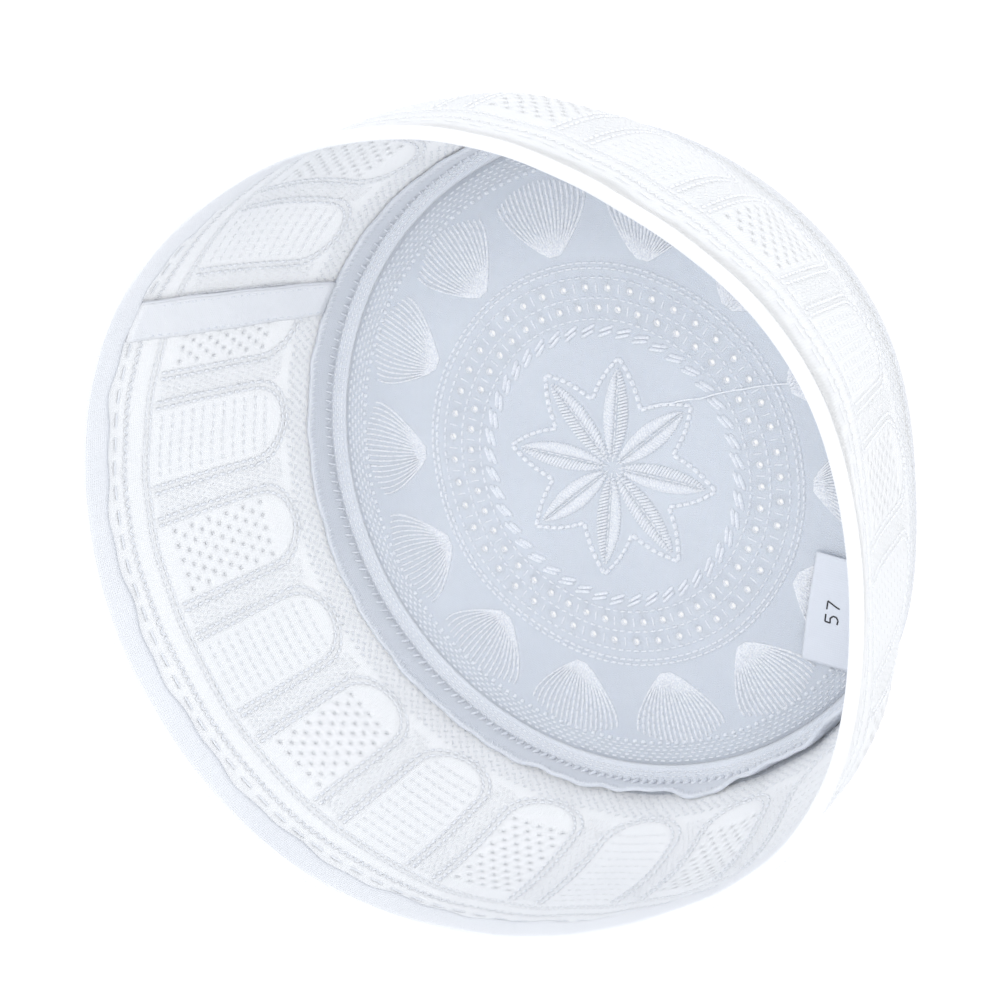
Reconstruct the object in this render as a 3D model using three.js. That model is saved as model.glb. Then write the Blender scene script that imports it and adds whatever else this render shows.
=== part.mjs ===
import * as THREE from 'three';

// A white prayer cap lying on its crown with its mouth up. Millimetres, +Z out of the mouth.
// The origin is the centre of the crown's outer face, and +Y points at the back seam.

// The cloth and how the pieces are sewn
const CLOTH = 1.6;              // cotton with its backing and embroidery
const SEAM_GAP = 0.3;           // clearance between two pieces that are sewn together
const CORNER_RADIUS = 4.5;      // turn from crown to band, to the middle of the cloth
const WALL_RISE = 75.6;         // from the crown's inner face up to the rim

// The strips inside the band
const FOLD = 1.2;               // a folded edge of the same cloth
const HEM_WIDTH = 7.3;
const ALLOWANCE_WIDTH = 6.6;
const LAP_WIDTH = 9;
const LAP_THICKNESS = 1.0;
const LAP_CLEARANCE = 0.8;      // between the lap and the strips above and below it

// The eyelets of the crown, two rings of them, staggered
const EYELET_RADIUS = 0.75;
const EYELETS_PER_RING = 46;
const EYELET_RINGS = [37.6, 42.3];
const EYELET_SIDES = 6;

// The size label on the crown
const LABEL = { length: 26, width: 12, thickness: 0.6, reach: 60.5, bearing: 272, turn: 290 };

// The shape the soft cap has settled into, read every 30 degrees counterclockwise from +X:
// the radius where the wall would meet the crown, the radius of the rim, and how far the
// wall bellies out between the two.
const SETTLED = [
  { angle: 0, crown: 79.0, rim: 89.0, belly: 3.0 },
  { angle: 30, crown: 80.5, rim: 89.0, belly: 6.0 },
  { angle: 60, crown: 78.5, rim: 90.5, belly: 3.0 },
  { angle: 90, crown: 77.5, rim: 94.5, belly: 1.0 },
  { angle: 120, crown: 77.5, rim: 95.0, belly: 1.0 },
  { angle: 150, crown: 77.5, rim: 93.0, belly: 1.0 },
  { angle: 180, crown: 77.5, rim: 89.5, belly: 1.0 },
  { angle: 210, crown: 77.5, rim: 85.0, belly: 3.0 },
  { angle: 240, crown: 77.5, rim: 85.5, belly: 4.0 },
  { angle: 270, crown: 77.5, rim: 92.0, belly: 3.0 },
  { angle: 300, crown: 74.0, rim: 91.5, belly: -1.0 },
  { angle: 330, crown: 77.5, rim: 93.5, belly: 1.0 },
];

const RING_STEPS = 60;
const WAVY_STEPS = 96;

/** One column of the settled shape at any angle, by a cubic through its rows, round the ring. */
function settled(column, angle) {
  const spacing = 360 / SETTLED.length;
  const place = (((angle % 360) + 360) % 360) / spacing;
  const row = Math.floor(place);
  const t = place - row;
  const at = (k) => SETTLED[(row + k + SETTLED.length) % SETTLED.length][column];
  const [before, start, end, after] = [at(-1), at(0), at(1), at(2)];
  const slopeIn = (end - before) / 2;
  const slopeOut = (after - start) / 2;
  const bend = 3 * (end - start) - 2 * slopeIn - slopeOut;
  const twist = slopeIn + slopeOut - 2 * (end - start);
  return start + t * (slopeIn + t * (bend + t * twist));
}

/** The measures of the cap's upright section at an angle. */
function sectionAt(angle) {
  const crown = settled('crown', angle);
  const flare = Math.atan2(settled('rim', angle) - crown, WALL_RISE);
  const cornerTop = CLOTH / 2 + CORNER_RADIUS * (1 - Math.sin(flare));
  const lean = (cornerTop - CLOTH) * Math.tan(flare);
  return {
    flare,
    belly: settled('belly', angle),
    seamRadius: crown + lean - CORNER_RADIUS * Math.cos(flare),
    wallLength: (CLOTH + WALL_RISE - cornerTop) / Math.cos(flare),
  };
}

/** A point of the corner: turn 0 is flat on the ground, 1 runs into the wall. */
function onCorner(section, turn, outward) {
  const swing = -Math.PI / 2 + turn * (Math.PI / 2 - section.flare);
  const radius = CORNER_RADIUS + outward;
  return [
    section.seamRadius + radius * Math.cos(swing),
    CLOTH / 2 + CORNER_RADIUS + radius * Math.sin(swing),
  ];
}

/** A point of the wall: up is the distance from the corner, outward the distance off mid-cloth. */
function onWall(section, up, outward) {
  const share = (Math.PI * up) / section.wallLength;
  const belly = section.belly * Math.sin(share) ** 2;
  const slope = (section.belly * Math.PI * Math.sin(2 * share)) / section.wallLength;
  const lean = section.flare + Math.atan(slope);
  const [footR, footZ] = onCorner(section, 1, 0);
  const { flare } = section;
  return [
    footR + up * Math.sin(flare) + belly * Math.cos(flare) + outward * Math.cos(lean),
    footZ + up * Math.cos(flare) - belly * Math.sin(flare) - outward * Math.sin(lean),
  ];
}

/** Evenly spaced numbers from start to end, both included. */
function spread(start, end, steps) {
  return Array.from({ length: steps + 1 }, (_, i) => start + ((end - start) * i) / steps);
}

/**
 * A closed body swept round +Z. profile(angle) gives its outer and inner edge as two lists of
 * [r, z], bottom to top and equally long. A full ring closes on itself, an arc gets end caps.
 */
function sweep(profile, angles, fullRing) {
  const positions = [];
  const triangles = [];
  let count = 0;
  for (const angle of angles) {
    const { outer, inner } = profile(angle);
    const loop = [...outer, ...inner.slice().reverse()];
    count = loop.length;
    const turn = THREE.MathUtils.degToRad(angle);
    for (const [r, z] of loop) {
      positions.push(r * Math.cos(turn), r * Math.sin(turn), z);
    }
  }
  const spans = fullRing ? angles.length : angles.length - 1;
  for (let i = 0; i < spans; i += 1) {
    const here = i * count;
    const next = ((i + 1) % angles.length) * count;
    for (let j = 0; j < count; j += 1) {
      const k = (j + 1) % count;
      triangles.push(here + j, next + j, here + k);
      triangles.push(next + j, next + k, here + k);
    }
  }
  if (!fullRing) {
    const last = (angles.length - 1) * count;
    for (let j = 0; j < count / 2 - 1; j += 1) {
      const across = count - 1 - j;
      triangles.push(j, j + 1, across - 1, j, across - 1, across);
      triangles.push(last + j, last + across - 1, last + j + 1);
      triangles.push(last + j, last + across, last + across - 1);
    }
  }
  const geometry = new THREE.BufferGeometry();
  geometry.setAttribute('position', new THREE.Float32BufferAttribute(positions, 3));
  geometry.setIndex(triangles);
  geometry.computeVertexNormals();
  return geometry;
}

/** A strip against the inside of the wall, between two heights, loose(up) clear of the band. */
function innerStrip(section, heights, thickness, loose) {
  const face = -(CLOTH / 2 + SEAM_GAP);
  return {
    outer: heights.map((up) => onWall(section, up, face - loose(up))),
    inner: heights.map((up) => onWall(section, up, face - thickness - loose(up))),
  };
}

const ringAngles = spread(0, 360, RING_STEPS).slice(0, -1);
const wavyAngles = spread(0, 360, WAVY_STEPS).slice(0, -1);

// Crown: a flat disc of cloth whose outline follows the seam, pierced by the eyelets.
function crownGeometry() {
  const outline = ringAngles.map((angle) => {
    const turn = THREE.MathUtils.degToRad(angle);
    const r = sectionAt(angle).seamRadius - SEAM_GAP;
    return new THREE.Vector2(r * Math.cos(turn), r * Math.sin(turn));
  });
  const shape = new THREE.Shape(outline);
  EYELET_RINGS.forEach((ringRadius, ring) => {
    for (let i = 0; i < EYELETS_PER_RING; i += 1) {
      const turn = (2 * Math.PI * (i + ring / 2)) / EYELETS_PER_RING;
      const x = ringRadius * Math.cos(turn);
      const y = ringRadius * Math.sin(turn);
      const corners = spread(0, -2 * Math.PI, EYELET_SIDES).slice(0, -1).map((swing) => {
        const dx = EYELET_RADIUS * Math.cos(swing);
        const dy = EYELET_RADIUS * Math.sin(swing);
        return new THREE.Vector2(x + dx, y + dy);
      });
      shape.holes.push(new THREE.Path(corners));
    }
  });
  return new THREE.ExtrudeGeometry(shape, { depth: CLOTH, bevelEnabled: false });
}

// Side band: one wall of cloth that turns up from the crown's edge and flares to the rim.
function bandGeometry() {
  const half = CLOTH / 2;
  const profile = (angle) => {
    const section = sectionAt(angle);
    const turns = spread(0, 1, 4);
    const heights = spread(0, section.wallLength, 8).slice(1);
    const side = (outward) => [
      ...turns.map((turn) => onCorner(section, turn, outward)),
      ...heights.map((up) => onWall(section, up, outward)),
    ];
    return { outer: side(half), inner: side(-half) };
  };
  return sweep(profile, ringAngles, true);
}

// Rim hem: the band's edge folded in and stitched down.
function hemGeometry() {
  const profile = (angle) => {
    const section = sectionAt(angle);
    const heights = spread(section.wallLength - HEM_WIDTH, section.wallLength, 2);
    return innerStrip(section, heights, FOLD, () => 0);
  };
  return sweep(profile, ringAngles, true);
}

// Seam allowance: the raw edge that stands inside the corner. It leans on the wall at its foot,
// and its free edge waves, most of all where the wall is pushed in.
function allowanceWave(angle) {
  const turn = THREE.MathUtils.degToRad(angle);
  const slack = 0.5 + 0.5 * Math.cos(turn - THREE.MathUtils.degToRad(240));
  return (0.3 + 1.7 * slack ** 4) * (1 + Math.sin(13 * turn) * Math.cos(4 * turn));
}

function allowanceGeometry() {
  const profile = (angle) => {
    const section = sectionAt(angle);
    const lift = (up) => allowanceWave(angle) * (up / ALLOWANCE_WIDTH) ** 2;
    return innerStrip(section, spread(0.6, ALLOWANCE_WIDTH, 3), FOLD, lift);
  };
  return sweep(profile, wavyAngles, true);
}

// Band lap: the upright seam at the back, where one end of the band covers the other.
function lapGeometry() {
  const halfAngle = THREE.MathUtils.radToDeg(LAP_WIDTH / 2 / SETTLED[3].crown);
  const profile = (angle) => {
    const section = sectionAt(angle);
    const foot = ALLOWANCE_WIDTH + LAP_CLEARANCE;
    const top = section.wallLength - HEM_WIDTH - LAP_CLEARANCE;
    return innerStrip(section, spread(foot, top, 7), LAP_THICKNESS, () => 0);
  };
  return sweep(profile, spread(90 - halfAngle, 90 + halfAngle, 3), false);
}

const group = new THREE.Group();

function addPiece(name, geometry, color) {
  const look = { color, roughness: 0.92, metalness: 0 };
  const mesh = new THREE.Mesh(geometry, new THREE.MeshStandardMaterial(look));
  mesh.name = name;
  group.add(mesh);
  return mesh;
}

addPiece('crown', crownGeometry(), 0xe4e9f2);
addPiece('side_band', bandGeometry(), 0xf2f5fa);
addPiece('rim_hem', hemGeometry(), 0xf4f6fa);
addPiece('seam_allowance', allowanceGeometry(), 0xe9edf5);
addPiece('band_lap', lapGeometry(), 0xeff2f8);

// Size label: a small woven tab lying on the crown by the wall, its long side along the wall.
const label = addPiece(
  'size_label',
  new THREE.BoxGeometry(LABEL.width, LABEL.length, LABEL.thickness),
  0xfdfdfd,
);
const labelBearing = THREE.MathUtils.degToRad(LABEL.bearing);
label.rotation.z = THREE.MathUtils.degToRad(LABEL.turn);
label.position.set(
  LABEL.reach * Math.cos(labelBearing),
  LABEL.reach * Math.sin(labelBearing),
  CLOTH + SEAM_GAP + LABEL.thickness / 2,
);

export default group;
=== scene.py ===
import bpy
import numpy as np
from mathutils import Matrix


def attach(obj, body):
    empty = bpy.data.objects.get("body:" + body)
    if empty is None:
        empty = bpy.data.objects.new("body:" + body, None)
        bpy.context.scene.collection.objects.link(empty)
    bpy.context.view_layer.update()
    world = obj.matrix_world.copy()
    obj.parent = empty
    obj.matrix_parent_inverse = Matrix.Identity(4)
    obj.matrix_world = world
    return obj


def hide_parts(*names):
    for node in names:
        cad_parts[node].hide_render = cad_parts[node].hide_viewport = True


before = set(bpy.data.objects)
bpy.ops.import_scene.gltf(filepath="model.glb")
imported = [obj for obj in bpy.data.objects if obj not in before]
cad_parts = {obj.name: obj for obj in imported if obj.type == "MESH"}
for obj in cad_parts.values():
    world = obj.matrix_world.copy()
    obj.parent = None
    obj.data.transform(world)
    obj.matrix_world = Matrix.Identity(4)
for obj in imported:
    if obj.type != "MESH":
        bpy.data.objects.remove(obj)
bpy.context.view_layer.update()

# Crown
# The flat round top of a soft white prayer cap, which lies on it with its mouth up. It is a
# disc of closely woven cotton with its backing, 0.9 mm thick and stiffened by stitching. Two
# staggered rings of eyelets are punched right through it.
MM = 0.001
TAU = 2 * np.pi
CLOTH_MIDDLE = 0.8 * MM  # height of the crown's middle surface above the table
CROWN_INSIDE = 1.6 * MM
CORNER_RADIUS = 4.5 * MM
WALL_RISE = 75.6 * MM

# The shape the cap has settled into, every 30 degrees counterclockwise from +X, in mm.
SETTLED = {
    "crown": [79.0, 80.5, 78.5, 77.5, 77.5, 77.5, 77.5, 77.5, 77.5, 77.5, 74.0, 77.5],
    "rim": [89.0, 89.0, 90.5, 94.5, 95.0, 93.0, 89.5, 85.0, 85.5, 92.0, 91.5, 93.5],
    "belly": [3.0, 6.0, 3.0, 1.0, 1.0, 1.0, 1.0, 3.0, 4.0, 3.0, -1.0, 1.0],
}


def settled(column, turn):
    """A column's value in metres at turn, in radians, by a cubic through its rows."""
    rows = np.array(SETTLED[column]) * MM
    place = np.mod(turn, TAU) / TAU * len(rows)
    row = np.floor(place).astype(int)
    t = place - row
    before, start, end, after = (rows[(row + k) % len(rows)] for k in (-1, 0, 1, 2))
    slope_in, slope_out = (end - before) / 2, (after - start) / 2
    bend = 3 * (end - start) - 2 * slope_in - slope_out
    twist = slope_in + slope_out - 2 * (end - start)
    return start + t * (slope_in + t * (bend + t * twist))


def section(turn):
    """Flare angle, seam radius, and length of the wall above the corner. The wall leans from
    the crown's radius to the rim's over its rise, and the corner is an arc that meets crown
    and wall without a kink, so the seam lies where that arc leaves the crown."""
    crown = settled("crown", turn)
    flare = np.arctan2(settled("rim", turn) - crown, WALL_RISE)
    corner_top = CLOTH_MIDDLE + CORNER_RADIUS * (1 - np.sin(flare))
    lean = (corner_top - CROWN_INSIDE) * np.tan(flare)
    seam = crown + lean - CORNER_RADIUS * np.cos(flare)
    length = (CROWN_INSIDE + WALL_RISE - corner_top) / np.cos(flare)
    return flare, seam, length


def crown_swell(x, y):
    """How far the crown lifts off the table, in metres: low rounded waves that die out
    at the centre and at the seam, as cloth does between two rings of tight stitching."""
    r = np.hypot(x, y)
    turn = np.arctan2(y, x)
    _, seam, _ = section(turn)
    share = np.clip(r / seam, 0, 1)
    waves = 0.9 + 0.5 * np.sin(3 * turn + 0.8) + 0.4 * np.sin(7 * turn + 2 * share)
    return waves * MM * 0.85 * np.sin(np.pi * share**1.5) ** 2


def crown_point(x, y, lift=0.0):
    """A point of the crown in metres, lift above its mid-cloth."""
    x, y, lift = np.broadcast_arrays(x, y, lift)
    return np.stack([x, y, CLOTH_MIDDLE + crown_swell(x, y) + lift], axis=-1)


def make_piece(name, points, faces, chart=None, wrap=0.0):
    """A smooth mesh object at the origin. faces is a list of arrays of corners; points
    that no face uses are dropped. chart gives each point's place on the flat cloth, and
    wrap the length at which a strip closes on itself, so that no face spans its end."""
    used, renumbered = np.unique(
        np.concatenate([f.ravel() for f in faces]), return_inverse=True
    )
    sides = np.concatenate([np.full(len(f), f.shape[1]) for f in faces])
    mesh = bpy.data.meshes.new(name)
    mesh.vertices.add(len(used))
    mesh.vertices.foreach_set("co", points[used].astype(np.float32).ravel())
    mesh.loops.add(len(renumbered))
    mesh.loops.foreach_set("vertex_index", renumbered.astype(np.int32))
    mesh.polygons.add(len(sides))
    starts = np.concatenate([[0], np.cumsum(sides)[:-1]])
    mesh.polygons.foreach_set("loop_start", starts.astype(np.int32))
    mesh.polygons.foreach_set("use_smooth", np.ones(len(sides), bool))
    if chart is not None:
        layer = mesh.uv_layers.new(name="cloth")
        flat = chart[used][renumbered].copy()
        if wrap:
            behind = np.repeat(flat[starts, 0], sides) - flat[:, 0]
            flat[:, 0] += wrap * np.round(behind / wrap)
        layer.data.foreach_set("uv", flat.astype(np.float32).ravel())
    mesh.update(calc_edges=True)
    mesh.validate()
    piece = bpy.data.objects.new(name, mesh)
    bpy.context.scene.collection.objects.link(piece)
    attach(piece, "root")
    return piece


def thicken(piece, thickness):
    """Gives a sheet its thickness, half to each side."""
    solidify = piece.modifiers.new("thickness", "SOLIDIFY")
    solidify.thickness = thickness
    solidify.offset = 0
    return piece


WEAVE = 0.55 * MM  # between two threads of the cloth


def node(tree, kind, place, **values):
    """Adds a shader node, sets its properties, and returns it."""
    made = tree.nodes.new(kind)
    made.location = place
    for key, value in values.items():
        setattr(made, key, value)
    return made


def plain_weave(tree, source):
    """Height of a plain weave: warp bands where weft bands are low, from two waves."""
    bands = []
    for k, direction in enumerate(("X", "Y")):
        wave = node(tree, "ShaderNodeTexWave", (-900, -200 - 250 * k))
        wave.bands_direction = direction
        wave.inputs["Scale"].default_value = np.pi / 10 / WEAVE
        wave.inputs["Distortion"].default_value = 0.6
        wave.inputs["Detail"].default_value = 1.0
        tree.links.new(source, wave.inputs["Vector"])
        bands.append(wave.outputs["Fac"])
    join = node(tree, "ShaderNodeMath", (-650, -300), operation="MULTIPLY")
    tree.links.new(bands[0], join.inputs[0])
    tree.links.new(bands[1], join.inputs[1])
    return join.outputs["Value"]


def cotton(name, light, shade, glow=0.0, weave_depth=0.12 * MM, blotch=28.0):
    """Woven cotton: weave bump along the cloth, soft blotches between two whites. Light
    spreads glow deep in a thin cloth, so some of it comes through."""
    material = bpy.data.materials.new(name)
    material.use_nodes = True
    tree = material.node_tree
    shader = tree.nodes["Principled BSDF"]
    shader.inputs["Roughness"].default_value = 0.88
    shader.inputs["Specular IOR Level"].default_value = 0.25
    shader.inputs["Sheen Weight"].default_value = 0.25
    shader.inputs["Sheen Roughness"].default_value = 0.6
    shader.inputs["Subsurface Weight"].default_value = float(glow > 0)
    shader.inputs["Subsurface Radius"].default_value = (1.0, 1.0, 1.0)
    shader.inputs["Subsurface Scale"].default_value = glow
    place = node(tree, "ShaderNodeTexCoord", (-1200, 0))
    clouds = node(tree, "ShaderNodeTexNoise", (-900, 200))
    clouds.inputs["Scale"].default_value = blotch
    clouds.inputs["Detail"].default_value = 5.0
    tree.links.new(place.outputs["Object"], clouds.inputs["Vector"])
    ramp = node(tree, "ShaderNodeValToRGB", (-500, 200))
    ramp.color_ramp.elements[0].position = 0.3
    ramp.color_ramp.elements[0].color = (*shade, 1)
    ramp.color_ramp.elements[1].position = 0.7
    ramp.color_ramp.elements[1].color = (*light, 1)
    tree.links.new(clouds.outputs["Fac"], ramp.inputs["Fac"])
    tree.links.new(ramp.outputs["Color"], shader.inputs["Base Color"])
    weave = plain_weave(tree, place.outputs["UV"])
    bump = node(tree, "ShaderNodeBump", (-300, -300))
    bump.inputs["Strength"].default_value = 0.8
    bump.inputs["Distance"].default_value = weave_depth
    tree.links.new(weave, bump.inputs["Height"])
    tree.links.new(bump.outputs["Normal"], shader.inputs["Normal"])
    return material


# The crown's cotton is the band's white cotton painted darker: painted shade for the crown deep
# in the cap, which takes less light than the walls.
crown_cotton_painted_shade = cotton("crown cotton, painted shade", (0.72, 0.75, 0.79), (0.675, 0.705, 0.75), 0.6 * MM)
CLOTH = 0.9 * MM
EYELETS = 46
EYELET_RINGS = (37.6 * MM, 42.3 * MM)
EYELET_RADIUS = 0.68 * MM
CROWN_COLUMNS = 4 * EYELETS
EYELET_ROW = 1.25 * MM  # radial step beside an eyelet
ROUND_UNTIL = 48 * MM  # rows inside this radius are true circles
# Steps of row and column from a hole's centre to the eight grid points round it
ROUND_A_HOLE = ((-1, -1), (-1, 0), (-1, 1), (0, 1), (1, 1), (1, 0), (1, -1), (0, -1))

inner_rows = np.array([4, 9, 14, 19, 24, 28, 32.0]) * MM
ring_rows = np.concatenate([r + EYELET_ROW * np.array([-1, 0, 1]) for r in EYELET_RINGS])
outer_share = np.linspace(0, 1, 14)
crown_turns = np.arange(CROWN_COLUMNS) / CROWN_COLUMNS * TAU
_, seam_radius, _ = section(crown_turns)
true_rows = np.concatenate([inner_rows, ring_rows])[:, None] + 0 * crown_turns
shaped_rows = ROUND_UNTIL + outer_share[:, None] * (seam_radius - ROUND_UNTIL)
crown_radii = np.concatenate([true_rows, shaped_rows])
crown_x = crown_radii * np.cos(crown_turns)
crown_y = crown_radii * np.sin(crown_turns)

eyelet_x, eyelet_y = [], []
hole_rows, hole_columns = [], []
for ring, ring_radius in enumerate(EYELET_RINGS):
    hole_row = len(inner_rows) + 3 * ring + 1
    columns = 4 * np.arange(EYELETS) + 2 * ring
    centre_turn = crown_turns[columns]
    centre_x, centre_y = ring_radius * np.cos(centre_turn), ring_radius * np.sin(centre_turn)
    for row_step, column_step in ROUND_A_HOLE:
        row, column = hole_row + row_step, (columns + column_step) % CROWN_COLUMNS
        dx, dy = crown_x[row, column] - centre_x, crown_y[row, column] - centre_y
        reach = np.hypot(dx, dy)
        crown_x[row, column] = centre_x + dx / reach * EYELET_RADIUS
        crown_y[row, column] = centre_y + dy / reach * EYELET_RADIUS
    eyelet_x.append(centre_x)
    eyelet_y.append(centre_y)
    hole_rows.append(np.full(EYELETS, hole_row))
    hole_columns.append(columns)
eyelet_x, eyelet_y = np.concatenate(eyelet_x), np.concatenate(eyelet_y)


def ring_quads(row_count, column_count, hole_rows, hole_columns):
    """Quads of a grid that closes on itself along its rows, without the four cells
    round each hole's centre. Corners run so that the face points to +Z or outward."""
    row, column = np.meshgrid(
        np.arange(row_count - 1), np.arange(column_count), indexing="ij"
    )
    kept = np.ones(row.shape, bool)
    for row_step in (-1, 0):
        for column_step in (-1, 0):
            kept[hole_rows + row_step, (hole_columns + column_step) % column_count] = False
    row, column = row[kept], column[kept]
    after = (column + 1) % column_count
    here, up = row * column_count, (row + 1) * column_count
    return np.stack([here + column, up + column, up + after, here + after], axis=1)


crown_quads = ring_quads(
    len(crown_radii), CROWN_COLUMNS, np.concatenate(hole_rows), np.concatenate(hole_columns)
)
crown_flat = np.stack([crown_x.ravel(), crown_y.ravel()], axis=1)
crown_points = crown_point(crown_flat[:, 0], crown_flat[:, 1])
middle = len(crown_points)
crown_points = np.vstack([crown_points, crown_point(0.0, 0.0)[None]])
crown_flat = np.vstack([crown_flat, [[0, 0]]])
column = np.arange(CROWN_COLUMNS)
crown_hub = np.stack(
    [np.full(CROWN_COLUMNS, middle), column, (column + 1) % CROWN_COLUMNS], axis=1
)
crown = make_piece("crown_cloth", crown_points, [crown_quads, crown_hub], crown_flat)
crown.data.materials.append(crown_cotton_painted_shade)
thicken(crown, CLOTH)
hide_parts("crown")

# Stitching of the crown
# White embroidery thread, worked through the cloth, so each stitch shows on both faces.
# From the middle: a flower, a rope ring, bound eyelets, a double line, fans, a border.
SPINDLE_SIDES = 6


def thread(name, light, shade):
    """Twisted thread: fine plies from a noise drawn out small, brighter than the cloth."""
    material = bpy.data.materials.new(name)
    material.use_nodes = True
    tree = material.node_tree
    shader = tree.nodes["Principled BSDF"]
    shader.inputs["Roughness"].default_value = 0.55
    shader.inputs["Specular IOR Level"].default_value = 0.4
    shader.inputs["Sheen Weight"].default_value = 0.15
    place = node(tree, "ShaderNodeTexCoord", (-1100, 0))
    plies = node(tree, "ShaderNodeTexNoise", (-850, 0))
    plies.inputs["Scale"].default_value = 2600.0
    plies.inputs["Detail"].default_value = 2.0
    tree.links.new(place.outputs["Object"], plies.inputs["Vector"])
    ramp = node(tree, "ShaderNodeValToRGB", (-550, 150))
    ramp.color_ramp.elements[0].position = 0.35
    ramp.color_ramp.elements[0].color = (*shade, 1)
    ramp.color_ramp.elements[1].position = 0.6
    ramp.color_ramp.elements[1].color = (*light, 1)
    tree.links.new(plies.outputs["Fac"], ramp.inputs["Fac"])
    tree.links.new(ramp.outputs["Color"], shader.inputs["Base Color"])
    bump = node(tree, "ShaderNodeBump", (-300, -250))
    bump.inputs["Strength"].default_value = 0.5
    bump.inputs["Distance"].default_value = 0.08 * MM
    tree.links.new(plies.outputs["Fac"], bump.inputs["Height"])
    tree.links.new(bump.outputs["Normal"], shader.inputs["Normal"])
    return material


white_thread = thread("white thread", (0.98, 0.985, 0.995), (0.80, 0.825, 0.88))
# The shaded thread is the same white thread painted greyer: painted shade for the shadows in
# needle holes and between close stitches.
shade_painted_thread = thread("shaded thread", (0.93, 0.945, 0.97), (0.78, 0.805, 0.86))


def stitches(start, end, facing, width, height):
    """Points and faces of one spindle per stitch: two rings of six points at 18 and 82 %
    of its length, an ellipse width by height about the line, and a point at each end."""
    along = end - start
    side = np.cross(along, facing)
    side /= np.linalg.norm(side, axis=1, keepdims=True) + 1e-12
    width = np.broadcast_to(width, len(start))[:, None, None]
    height = np.broadcast_to(height, len(start))[:, None, None]
    swing = np.arange(SPINDLE_SIDES) / SPINDLE_SIDES * TAU
    across = (
        np.cos(swing)[None, :, None] * side[:, None] * width
        + np.sin(swing)[None, :, None] * facing[:, None] * height
    ) / 2
    near = (start + 0.18 * along)[:, None] + across
    far = (start + 0.82 * along)[:, None] + across
    points = np.concatenate([start[:, None], near, far, end[:, None]], axis=1)
    k = np.arange(SPINDLE_SIDES)
    n = (k + 1) % SPINDLE_SIDES
    last = 2 * SPINDLE_SIDES + 1
    cap = np.stack([0 * k, 1 + n, 1 + k], axis=1)
    tip = np.stack([last + 0 * k, 7 + k, 7 + n], axis=1)
    body = np.stack([1 + k, 1 + n, 7 + n, 7 + k], axis=1)
    base = (np.arange(len(start)) * (last + 1))[:, None, None]
    triangles = (base + np.concatenate([cap, tip])[None]).reshape(-1, 3)
    quads = (base + body[None]).reshape(-1, 4)
    return points.reshape(-1, 3), triangles, quads


def sew(name, groups, material):
    """One piece of thread from several groups of stitches."""
    points, triangles, quads, count = [], [], [], 0
    for start, end, facing, width, height in groups:
        p, t, q = stitches(start, end, facing, width, height)
        points.append(p)
        triangles.append(t + count)
        quads.append(q + count)
        count += len(p)
    piece = make_piece(name, np.vstack(points), [np.vstack(triangles), np.vstack(quads)])
    piece.data.materials.append(material)
    return piece


def on_crown(x0, y0, x1, y1, width, height, lift=0.0):
    """A group of stitches of the crown between flat places, in metres."""
    start, end = crown_point(x0, y0, lift), crown_point(x1, y1, lift)
    facing = np.broadcast_to([0.0, 0.0, 1.0], start.shape)
    return start, end, facing, width, height


def running(x, y, fill, width, height, lift=0.0):
    """Stitches end to end along a line of flat places; fill is the share of each step
    that thread covers. The lines lie along the last axis."""
    x0, x1, y0, y1 = x[..., :-1], x[..., 1:], y[..., :-1], y[..., 1:]
    gap = (1 - fill) / 2
    return on_crown(
        (x0 + gap * (x1 - x0)).ravel(),
        (y0 + gap * (y1 - y0)).ravel(),
        (x1 - gap * (x1 - x0)).ravel(),
        (y1 - gap * (y1 - y0)).ravel(),
        width,
        height,
        lift,
    )


def circle_line(radius, count, fill, width, height, lift=0.0, phase=0.0):
    """A ring of running stitches about the crown's centre."""
    turn = (np.arange(count + 1) + phase) / count * TAU
    radius = radius + 0 * turn if np.isscalar(radius) else radius(turn)
    x, y = radius * np.cos(turn), radius * np.sin(turn)
    return running(x, y, fill, width, height, lift)


# The flower: eight petals, each outlined in chain stitch round a satin leaf with a midrib.
PETALS = 8
FLOWER_TURN = np.radians(-23)
PETAL_TIP = 26.5 * MM
PETAL_VALLEY = 16.4 * MM
petal_turn = FLOWER_TURN + np.arange(PETALS) / PETALS * TAU


def turned(radial, sideways, turn):
    """Flat places given along and across a direction, for each of several directions."""
    radial, sideways = np.broadcast_arrays(radial, sideways)
    cos, sin = np.cos(turn)[:, None], np.sin(turn)[:, None]
    return cos * radial - sin * sideways, sin * radial + cos * sideways


half_petal = np.pi / PETALS
chain = np.linspace(0, 1, 8)
valley_r, valley_s = PETAL_VALLEY * np.cos(half_petal), PETAL_VALLEY * np.sin(half_petal)
swell = np.sin(np.pi * chain) * 0.7 * MM
edge_r = valley_r + (PETAL_TIP - valley_r) * chain + swell * 0.5
edge_s = valley_s * (1 - chain) + swell
flower = []
for hand in (-1, 1):
    x, y = turned(edge_r, hand * edge_s, petal_turn)
    flower.append(running(x, y, 0.88, 1.0 * MM, 2.2 * MM, 0.3 * MM))
leaf = np.linspace(0.02, 1, 27)
leaf_r = 2.2 * MM + 21.3 * MM * leaf
leaf_w = 3.1 * MM * np.sin(np.pi * leaf**0.85) ** 0.75 + 0.15 * MM
for hand in (-1, 1):
    x0, y0 = turned(leaf_r, hand * 0.3 * MM, petal_turn)
    x1, y1 = turned(leaf_r + 0.45 * leaf_w, hand * leaf_w, petal_turn)
    flower.append(
        on_crown(
            x0.ravel(), y0.ravel(), x1.ravel(), y1.ravel(), 0.66 * MM, 2.4 * MM, 0.35 * MM
        )
    )
rib = np.linspace(1.0 * MM, 23.4 * MM, 12)
x, y = turned(rib, 0.0, petal_turn)
flower.append(running(x, y, 0.9, 0.3 * MM, 1.6 * MM, 0.1 * MM))
flower = sew("flower_stitches", flower, white_thread)

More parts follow.
